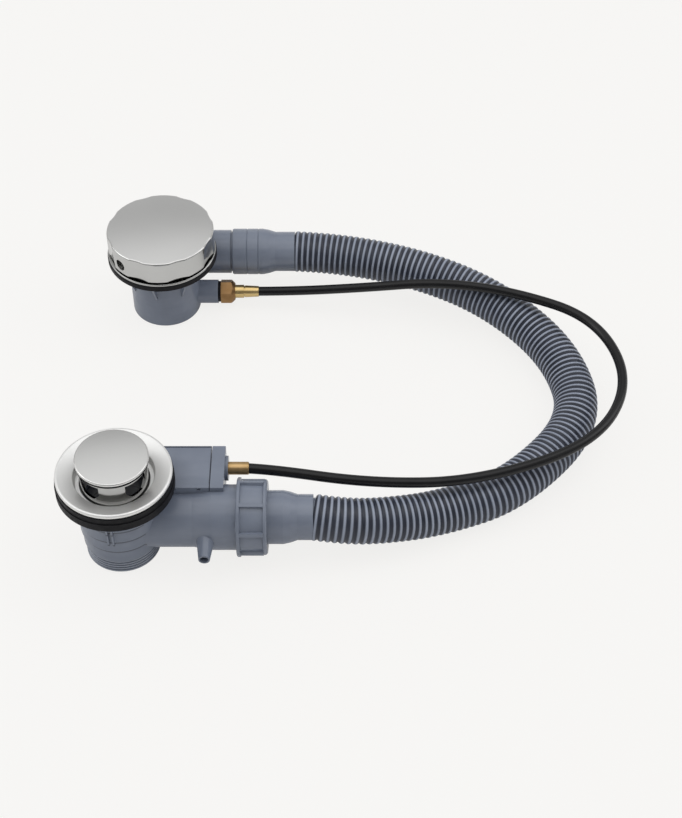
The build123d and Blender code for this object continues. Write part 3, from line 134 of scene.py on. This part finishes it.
# Light tent: its greys by level, how the levels lean up towards the back, and how it dims towards the front
TENT_LEAN = -0.35
TENT_SPAN = (-0.4, 1.0)
TENT_GREYS = [
    (0.0, 0.72),
    (0.15, 0.70),
    (0.36, 0.56),
    (0.50, 0.34),
    (0.63, 0.76),
    (0.72, 0.84),
    (0.80, 0.84),
    (1.0, 0.50),
]
TENT_FRONT = (-0.85, 0.15)
TENT_FRONT_LEVELS = (0.32, 1.0)

# Spans of noise over which a material drifts from one value to another
MIDDLE_SPAN = (0.3, 0.7)
NARROW_SPAN = (0.34, 0.66)
WHOLE_SPAN = (0.0, 1.0)


def add_camera():
    """The photograph's camera."""
    lens = bpy.data.cameras.new("camera")
    lens.sensor_width = SENSOR_MM
    lens.lens = FOCAL_PX / IMAGE_H * SENSOR_MM
    lens.clip_start = CLIP_NEAR
    lens.clip_end = CLIP_FAR
    camera = bpy.data.objects.new("camera", lens)
    camera.location = CAMERA_PLACE
    camera.rotation_euler = (math.radians(90 - PITCH), 0, 0)
    scene.collection.objects.link(camera)
    scene.camera = camera


def route_points(name, route, resolution):
    """Points along a smooth open curve with the route's points as its control points."""
    data = bpy.data.curves.new(name, "CURVE")
    data.dimensions = "3D"
    data.resolution_u = resolution
    spline = data.splines.new("NURBS")
    spline.points.add(len(route) - 1)
    for point, place in zip(spline.points, route):
        point.co = (*place, 1.0)
    spline.order_u = 3
    spline.use_endpoint_u = True
    line = bpy.data.objects.new(name, data)
    scene.collection.objects.link(line)
    mesh = bpy.data.meshes.new_from_object(line)
    points = [v.co.copy() for v in mesh.vertices]
    bpy.data.meshes.remove(mesh)
    bpy.data.objects.remove(line)
    return points


def line_length(points):
    """Length of a line through points."""
    return sum((b - a).length for a, b in zip(points, points[1:]))


def walk(points, distances):
    """Places and directions at distances along a line."""
    placed = []
    done = 0.0
    k = 0
    for distance in distances:
        while k < len(points) - 2 and done + (points[k + 1] - points[k]).length < distance:
            done += (points[k + 1] - points[k]).length
            k += 1
        along = (points[k + 1] - points[k]).normalized()
        placed.append((points[k] + along * (distance - done), along))
    return placed


def tube(name, points, stations, segments):
    """A tube along a line: stations are (distance, radius, depth of the groove there from 0 to 1)."""
    verts, faces, grooves = [], [], []
    side = Vector((0, 0, 1))
    placed = walk(points, [distance for distance, _, _ in stations])
    for (place, along), (_, radius, groove) in zip(placed, stations):
        side = (side - along * side.dot(along)).normalized()
        other = along.cross(side)
        for j in range(segments):
            turn = 2 * math.pi * j / segments
            verts.append(place + (side * math.cos(turn) + other * math.sin(turn)) * radius)
            grooves.append(groove)
    for i in range(len(stations) - 1):
        near = i * segments
        far = near + segments
        for j in range(segments):
            k = (j + 1) % segments
            faces.append((near + j, near + k, far + k, far + j))
    mesh = bpy.data.meshes.new(name)
    mesh.from_pydata(verts, [], faces)
    mesh.polygons.foreach_set("use_smooth", [True] * len(faces))
    mesh.attributes.new("groove", "FLOAT", "POINT").data.foreach_set("value", grooves)
    mesh.update()
    made = bpy.data.objects.new(name, mesh)
    scene.collection.objects.link(made)
    return made


def ridged(length):
    """Stations of the corrugated hose: round ridges with grooves between them."""
    rings = round(length / HOSE_PITCH)
    pitch = length / rings
    stations = [(0.0, HOSE_END_R, 1.0)]
    for ring in range(rings):
        for step in range(RIDGE_STEPS):
            part = (step + 0.5) / RIDGE_STEPS
            height = math.sin(math.pi * part)
            radius = HOSE_ROOT_R + (HOSE_R - HOSE_ROOT_R) * height
            stations.append(((ring + part) * pitch, radius, 1.0 - height))
    stations.append((length, HOSE_END_R, 1.0))
    return stations


def plain(length):
    """Stations of the smooth sheath."""
    steps = round(length / SHEATH_STEP)
    return [(length * k / steps, SHEATH_R, 0.0) for k in range(steps + 1)]


class Nodes:
    """Short ways to add and join the nodes of one shader tree."""

    def __init__(self, tree):
        self.tree = tree

    def add(self, kind):
        return self.tree.nodes.new(kind)

    def link(self, a, b):
        self.tree.links.new(a, b)

    def feed(self, socket, value):
        """Link another node's output to a socket, or set a constant on it."""
        if isinstance(value, bpy.types.NodeSocket):
            self.link(value, socket)
        else:
            socket.default_value = value

    def math(self, operation, *values):
        node = self.add("ShaderNodeMath")
        node.operation = operation
        for socket, value in zip(node.inputs, values):
            self.feed(socket, value)
        return node.outputs["Value"]

    def split(self, vector):
        """A vector's X, Y and Z."""
        node = self.add("ShaderNodeSeparateXYZ")
        self.link(vector, node.inputs["Vector"])
        return node.outputs["X"], node.outputs["Y"], node.outputs["Z"]

    def spread(self, value, span, levels=(0.0, 1.0)):
        """A value taken from one span to another, and held at its ends."""
        node = self.add("ShaderNodeMapRange")
        for name, bound in zip(("From Min", "From Max", "To Min", "To Max"), (*span, *levels)):
            node.inputs[name].default_value = bound
        self.link(value, node.inputs["Value"])
        return node.outputs["Result"]

    def ramp(self, fac, stops):
        """Colour ramp; stops are (position, colour or grey value), from low to high."""
        node = self.add("ShaderNodeValToRGB")
        elements = node.color_ramp.elements
        for element, (at, value) in zip(elements, (stops[0], stops[-1])):
            element.position = at
            element.color = opaque(value)
        for at, value in stops[1:-1]:
            elements.new(at).color = opaque(value)
        self.link(fac, node.inputs["Fac"])
        return node.outputs["Color"]


def opaque(value):
    """A colour or a grey value as an opaque colour."""
    colour = value if isinstance(value, tuple) else (value, value, value)
    return (*colour, 1.0)


class Mat(Nodes):
    """A node material on object coordinates, which are the part's own frame in metres."""

    def __init__(self, name):
        self.material = bpy.data.materials.new(name)
        self.material.use_nodes = True
        super().__init__(self.material.node_tree)
        self.shader = self.tree.nodes["Principled BSDF"]
        self.where = self.add("ShaderNodeTexCoord").outputs["Object"]

    def noise(self, scale, detail, stretch=None):
        """Noise with features about 1/scale metres across."""
        node = self.add("ShaderNodeTexNoise")
        node.inputs["Scale"].default_value = scale
        node.inputs["Detail"].default_value = detail
        place = self.where
        if stretch:
            pull = self.add("ShaderNodeMapping")
            pull.inputs["Scale"].default_value = stretch
            self.link(self.where, pull.inputs["Vector"])
            place = pull.outputs["Vector"]
        self.link(place, node.inputs["Vector"])
        return node.outputs["Fac"]

    def drift(self, scale, detail, low, high, span=MIDDLE_SPAN):
        """A colour or grey value that drifts between two values with noise."""
        return self.ramp(self.noise(scale, detail), [(span[0], low), (span[1], high)])

    def mix(self, fac, a, b):
        node = self.add("ShaderNodeMix")
        node.data_type = "RGBA"
        self.link(fac, node.inputs["Factor"])
        self.link(a, node.inputs["A"])
        self.link(b, node.inputs["B"])
        return node.outputs["Result"]

    def normal(self):
        """The surface's own normal."""
        return self.add("ShaderNodeNewGeometry").outputs["Normal"]

    def square_radius(self, axis):
        """Square of the distance from an upright axis."""
        x, y, _ = self.split(self.where)
        dx = self.math("SUBTRACT", x, axis[0])
        dy = self.math("SUBTRACT", y, axis[1])
        return self.math("ADD", self.math("MULTIPLY", dx, dx), self.math("MULTIPLY", dy, dy))

    def mark(self, value, at, half):
        """1 where a value is at a mark, falling to 0 at half a width from it."""
        off = self.math("ABSOLUTE", self.math("SUBTRACT", value, at))
        return self.math("MAXIMUM", self.math("SUBTRACT", 1.0, self.math("DIVIDE", off, half)), 0.0)

    def bump(self, height, distance, strength, edge=None):
        """Fine relief, over edges softened to a radius where one is given."""
        node = self.add("ShaderNodeBump")
        node.inputs["Strength"].default_value = strength
        node.inputs["Distance"].default_value = distance
        self.link(height, node.inputs["Height"])
        if edge:
            soft = self.add("ShaderNodeBevel")
            soft.samples = EDGE_SAMPLES
            soft.inputs["Radius"].default_value = edge
            self.link(soft.outputs["Normal"], node.inputs["Normal"])
        self.link(node.outputs["Normal"], self.shader.inputs["Normal"])

    def set(self, **values):
        """Feed the shader's sockets, named with underscores for spaces."""
        for name, value in values.items():
            self.feed(self.shader.inputs[name.replace("_", " ")], value)

    def dress(self, *pieces):
        """Put the material on nodes, by name, and on the scene's own pieces."""
        for piece in pieces:
            data = (nodes[piece] if isinstance(piece, str) else piece).data
            data.materials.clear()
            data.materials.append(self.material)


def metal(name):
    """A metal, still without its colour and roughness."""
    m = Mat(name)
    m.set(Metallic=1.0)
    return m


def cup_painted_shade_and_highlight(m):
    """Painted shade under the cup's steps and in its outlet thread's roots, and painted highlight on that
    thread's crests.
    """
    x, _, z = m.split(m.where)
    square = m.square_radius(WASTE_AXIS)
    # Painted shade in a band just under each of the cup's steps
    dark = 0.0
    for level in CUP_STEPS:
        dark = m.math("ADD", dark, m.mark(z, level - STEP_SHADE_DROP, STEP_SHADE_HALF))
    within = m.math("LESS_THAN", square, CUP_REACH ** 2)
    on_cup = m.math("MULTIPLY", within, m.math("LESS_THAN", x, TUBE_FROM_X))
    steps = m.math("MULTIPLY", m.math("MULTIPLY", dark, on_cup), STEP_SHADE)
    radius = m.math("SQRT", square)
    on_thread = m.math("LESS_THAN", z, CUP_STEPS[0])
    # Painted shade in the outlet thread's roots, and painted highlight on its crests
    root_shade = m.math("MULTIPLY", m.mark(radius, THREAD_ROOT_R, THREAD_ROOT_SHADE_HALF), on_thread)
    crest_highlight = m.math("MULTIPLY", m.mark(radius, THREAD_CREST_R, THREAD_CREST_HIGHLIGHT_HALF), on_thread)
    return m.math("MAXIMUM", steps, root_shade), crest_highlight


def slate_plastic(name, painted_light=None):
    """Slate moulded plastic: cloudy colour with faint flow lines, a fine tooth, and painted shade and
    painted highlight where given.
    """
    m = Mat(name)
    cloud = m.math("MULTIPLY", m.noise(38.0, 4.0), 0.65)
    flow = m.math("MULTIPLY", m.noise(90.0, 2.0, (0.25, 1.0, 1.6)), 0.35)
    both = m.math("ADD", cloud, flow)

    def clouded(low, high):
        return m.ramp(both, [(NARROW_SPAN[0], low), (NARROW_SPAN[1], high)])

    colour = clouded((0.196, 0.224, 0.288), (0.250, 0.283, 0.354))
    if painted_light:
        # Masks of painted shade and painted highlight, then the darker and lighter plastic colours they
        # paint
        dark, light = painted_light(m)
        painted_shade = clouded((0.040, 0.048, 0.064), (0.058, 0.067, 0.086))
        painted_highlight = clouded((0.330, 0.365, 0.440), (0.400, 0.440, 0.520))
        colour = m.mix(light, m.mix(dark, colour, painted_shade), painted_highlight)
    m.set(Base_Color=colour, Roughness=m.drift(220.0, 3.0, 0.17, 0.26), Specular_IOR_Level=0.5)
    m.bump(m.noise(2600.0, 2.0), 0.00004, 0.35, 0.0005)
    return m


def hose_plastic():
    """Slate hose: painted highlight on the ridges and painted shade in the grooves."""
    m = Mat("ringed_hose_plastic")
    depth = m.add("ShaderNodeAttribute")
    depth.attribute_name = "groove"
    # Lighter crest colour is painted highlight; the dark root colour is painted shade in the grooves, by
    # groove depth
    crest_highlight = m.drift(42.0, 4.0, (0.310, 0.350, 0.440), (0.378, 0.418, 0.515), NARROW_SPAN)
    root_shade = m.drift(60.0, 3.0, (0.017, 0.022, 0.038), (0.030, 0.036, 0.058), NARROW_SPAN)
    groove_shade = m.ramp(depth.outputs["Fac"], [(0.02, 0.0), (0.29, 1.0)])
    m.set(Base_Color=m.mix(groove_shade, crest_highlight, root_shade), Roughness=m.drift(240.0, 3.0, 0.34, 0.48))
    m.bump(m.noise(2200.0, 2.0), 0.00004, 0.3)
    return m


def black_rubber():
    """Dull black rubber of the sealing rings."""
    m = Mat("black_rubber")
    m.set(Base_Color=m.drift(120.0, 4.0, (0.006, 0.006, 0.008), (0.012, 0.012, 0.014)))
    m.set(Roughness=m.drift(300.0, 3.0, 0.42, 0.60), Specular_IOR_Level=0.15)
    m.bump(m.noise(1800.0, 3.0), 0.00006, 0.4, 0.0004)
    return m


def black_sheath():
    """Smooth black sheath of the cable."""
    m = Mat("black_sheath")
    m.set(Base_Color=m.drift(80.0, 4.0, (0.004, 0.004, 0.005), (0.008, 0.008, 0.009)))
    m.set(Roughness=m.drift(180.0, 3.0, 0.20, 0.26), Specular_IOR_Level=0.35)
    m.bump(m.noise(1400.0, 2.0), 0.00005, 0.3)
    return m


def plating(m, grey, rise=0.05):
    """Chrome's colour, with slight clouds."""
    bright = grey + rise
    return m.drift(30.0, 1.0, (grey, grey, grey - 0.01), (bright, bright, bright - 0.01), WHOLE_SPAN)


def polish(m, low, high):
    """Chrome's roughness, with slight clouds."""
    return m.drift(24.0, 1.0, low, high, WHOLE_SPAN)


def chromed(name, grey, rough):
    """Chrome plate."""
    m = metal(name)
    m.set(Base_Color=plating(m, grey), Roughness=polish(m, *rough))
    return m


def crown(m, axis, radius):
    """Slight crown on a flat face, as a height that falls from its centre."""
    fall = m.math("MULTIPLY", m.square_radius(axis), -0.5 / radius)
    grain = m.math("MULTIPLY", m.noise(400.0, 2.0), 0.000002)
    m.bump(m.math("ADD", fall, grain), 1.0, 1.0, 0.0004)


def flange_chrome():
    """Satin chrome of the waste's flange."""
    m = chromed("satin_chrome", 0.88, (0.48, 0.56))
    m.bump(m.noise(300.0, 2.0), 0.000004, 0.5, 0.0004)
    return m


def cap_chrome():
    """Half bright chrome of the plug's cap, slightly crowned."""
    m = chromed("satin_cap", 0.70, (0.20, 0.27))
    crown(m, WASTE_AXIS, CAP_CROWN_R)
    return m


def basket_chrome():
    """Bright chrome outside, and painted shade inside: near-black metal on the inner faces."""
    m = metal("basket_chrome")
    outward = m.add("ShaderNodeVectorMath")
    outward.operation = "DOT_PRODUCT"
    m.link(m.where, outward.inputs[0])
    m.link(m.normal(), outward.inputs[1])
    outside = m.math("GREATER_THAN", outward.outputs["Value"], BASKET_OUTSIDE)
    # Near-black inner faces are painted shade inside the basket
    inside_shade = m.drift(90.0, 3.0, (0.010, 0.010, 0.010), (0.022, 0.021, 0.020))
    m.set(Base_Color=m.mix(outside, inside_shade, plating(m, 0.44)), Roughness=polish(m, 0.06, 0.11))
    return m


def knob_chrome():
    """A face brushed to a satin and slightly crowned, and a bright rim."""
    m = metal("knob_chrome")
    _, _, up = m.split(m.normal())
    on_face = m.ramp(up, [(0.55, 0.0), (0.95, 1.0)])
    m.set(Base_Color=m.mix(on_face, plating(m, 0.55, 0.08), plating(m, 0.70)))
    m.set(Roughness=m.mix(on_face, polish(m, 0.10, 0.17), polish(m, 0.285, 0.335)))
    crown(m, KNOB_AXIS, KNOB_CROWN_R)
    return m


def turned_brass(name, dark, light, rough):
    """Turned brass: warm colour with fine tool lines and a little tarnish."""
    m = metal(name)
    m.set(Base_Color=m.drift(120.0, 3.0, dark, light), Roughness=m.drift(240.0, 3.0, *rough))
    m.bump(m.noise(500.0, 2.0, (6.0, 0.3, 0.3)), 0.000008, 0.3, 0.0003)
    return m


def bright_steel():
    """Steel of the wire's end, the screws and the clip."""
    m = metal("bright_steel")
    m.set(Base_Color=m.drift(200.0, 3.0, (0.48, 0.48, 0.48), (0.60, 0.60, 0.59)))
    m.set(Roughness=m.drift(400.0, 3.0, 0.28, 0.38))
    return m


def black_steel():
    """Blackened steel of the grub screw."""
    m = metal("black_steel")
    m.set(Base_Color=m.drift(300.0, 3.0, (0.006, 0.006, 0.006), (0.014, 0.014, 0.014)))
    m.set(Roughness=m.drift(500.0, 3.0, 0.50, 0.65))
    return m


def pale_floor():
    """Matt floor that takes shadows, mixed with a glow of its own for the camera, mirrors and glass."""
    material = bpy.data.materials.new("pale_floor")
    material.use_nodes = True
    material.node_tree.nodes.clear()
    m = Nodes(material.node_tree)
    matt = m.add("ShaderNodeBsdfDiffuse")
    matt.inputs["Color"].default_value = (0.86, 0.855, 0.845, 1)
    glow = m.add("ShaderNodeEmission")
    glow.inputs["Color"].default_value = (0.966, 0.958, 0.942, 1)
    ray = m.add("ShaderNodeLightPath").outputs
    seen = m.math("MULTIPLY", ray["Is Camera Ray"], FLOOR_SEEN)
    mirrored = m.math("MAXIMUM", ray["Is Glossy Ray"], ray["Is Transmission Ray"])
    blend = m.add("ShaderNodeMixShader")
    m.link(m.math("MULTIPLY_ADD", mirrored, FLOOR_MIRRORED, seen), blend.inputs["Fac"])
    m.link(matt.outputs[0], blend.inputs[1])
    m.link(glow.outputs[0], blend.inputs[2])
    m.link(blend.outputs[0], m.add("ShaderNodeOutputMaterial").inputs["Surface"])
    return material


def add_floor():
    """Round floor with a low backdrop at its edge."""
    turns = [2 * math.pi * k / FLOOR_SIDES for k in range(FLOOR_SIDES)]
    edge = [(FLOOR_R * math.cos(t), FLOOR_R * math.sin(t)) for t in turns]
    verts = [(x, y, z) for z in (0.0, BACKDROP_TOP) for x, y in edge]
    faces = [tuple(range(FLOOR_SIDES))]
    for k in range(FLOOR_SIDES):
        after = (k + 1) % FLOOR_SIDES
        faces.append((k, k + FLOOR_SIDES, after + FLOOR_SIDES, after))
    mesh = bpy.data.meshes.new("floor")
    mesh.from_pydata(verts, [], faces)
    mesh.materials.append(pale_floor())
    floor = bpy.data.objects.new("floor", mesh)
    floor.location.z = -FLOOR_DROP
    scene.collection.objects.link(floor)


def add_soft_box(name, place, size, power):
    """Rectangular lamp turned to the middle of the set."""
    lamp = bpy.data.lights.new(name, "AREA")
    lamp.shape = "RECTANGLE"
    lamp.size, lamp.size_y = size
    lamp.energy = power
    made = bpy.data.objects.new(name, lamp)
    made.location = place
    made.rotation_mode = "QUATERNION"
    made.rotation_quaternion = (Vector(MIDDLE) - Vector(place)).to_track_quat("-Z", "Y")
    scene.collection.objects.link(made)


def add_tent():
    """World: a light tent with a darker strip part of the way up, dimmer overhead and towards the front."""
    world = bpy.data.worlds.new("studio")
    scene.world = world
    world.use_nodes = True
    sky = Nodes(world.node_tree)
    back = sky.tree.nodes["Background"]
    _, y, z = sky.split(sky.add("ShaderNodeTexCoord").outputs["Generated"])
    height = sky.spread(sky.math("MULTIPLY_ADD", y, TENT_LEAN, z), TENT_SPAN)
    sky.link(sky.ramp(height, TENT_GREYS), back.inputs["Color"])
    sky.link(sky.spread(y, TENT_FRONT, TENT_FRONT_LEVELS), back.inputs["Strength"])


add_camera()

# Corrugated hose
hose_points = route_points("hose_line", HOSE_ROUTE, HOSE_CURVE_STEPS)
hose_length = line_length(hose_points)
hose = tube("corrugated_hose", hose_points, ridged(hose_length), HOSE_SEGMENTS)
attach(hose, "fixed_set")
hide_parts("overflow_hose")

# Sheathed cable
cable_points = route_points("cable_line", CABLE_ROUTE, SHEATH_CURVE_STEPS)
cable_length = line_length(cable_points)
cable = tube("cable", cable_points, plain(cable_length), SHEATH_SEGMENTS)
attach(cable, "fixed_set")
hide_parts("cable_sheath", "cable_core")
print("hose", round(hose_length * 1000, 1), "mm; cable", round(cable_length * 1000, 1), "mm")

# Plastic and rubber
slate_plastic("slate_plastic").dress(
    "box_lid", "box_end_block", "union_nut", "overflow_body", "lift_finger", "crank_arm", "wire_slider",
    "lower_hose_cuff", "upper_hose_cuff")
# Painted shade under the cup's steps and in its thread's roots, and painted highlight on the thread's
# crests
slate_plastic("stepped_slate_plastic", cup_painted_shade_and_highlight).dress("waste_body")
hose_plastic().dress(hose)
black_sheath().dress(cable)
black_rubber().dress(
    "flange_seal", "bath_seal", "plug_seal", "axle_o_ring", "cone_washer", "overflow_seal", "gland_o_ring")

# Chrome, brass and steel
chromed("polished_chrome", 0.48, (0.10, 0.16)).dress("face_plate")
flange_chrome().dress("waste_flange")
cap_chrome().dress("plug_cap")
basket_chrome().dress("plug_basket")
knob_chrome().dress("overflow_knob")
turned_brass("bright_brass", (0.66, 0.47, 0.20), (0.80, 0.60, 0.29), (0.19, 0.26)).dress(
    "gland_sleeve", "plug_stem", "overflow_spindle", "lift_axle")
turned_brass("brown_brass", (0.29, 0.165, 0.070), (0.42, 0.255, 0.12), (0.28, 0.40)).dress("gland_nut")
turned_brass("dull_brass", (0.46, 0.30, 0.13), (0.60, 0.41, 0.20), (0.28, 0.36)).dress("lower_ferrule")
bright_steel().dress("lower_wire_end", "plate_screws", "spindle_clip")
black_steel().dress("knob_grub_screw")

# Studio
add_floor()
for name, (place, size, power) in SOFT_BOXES.items():
    add_soft_box(name, place, size, power)
add_tent()

bpy.context.view_layer.update()
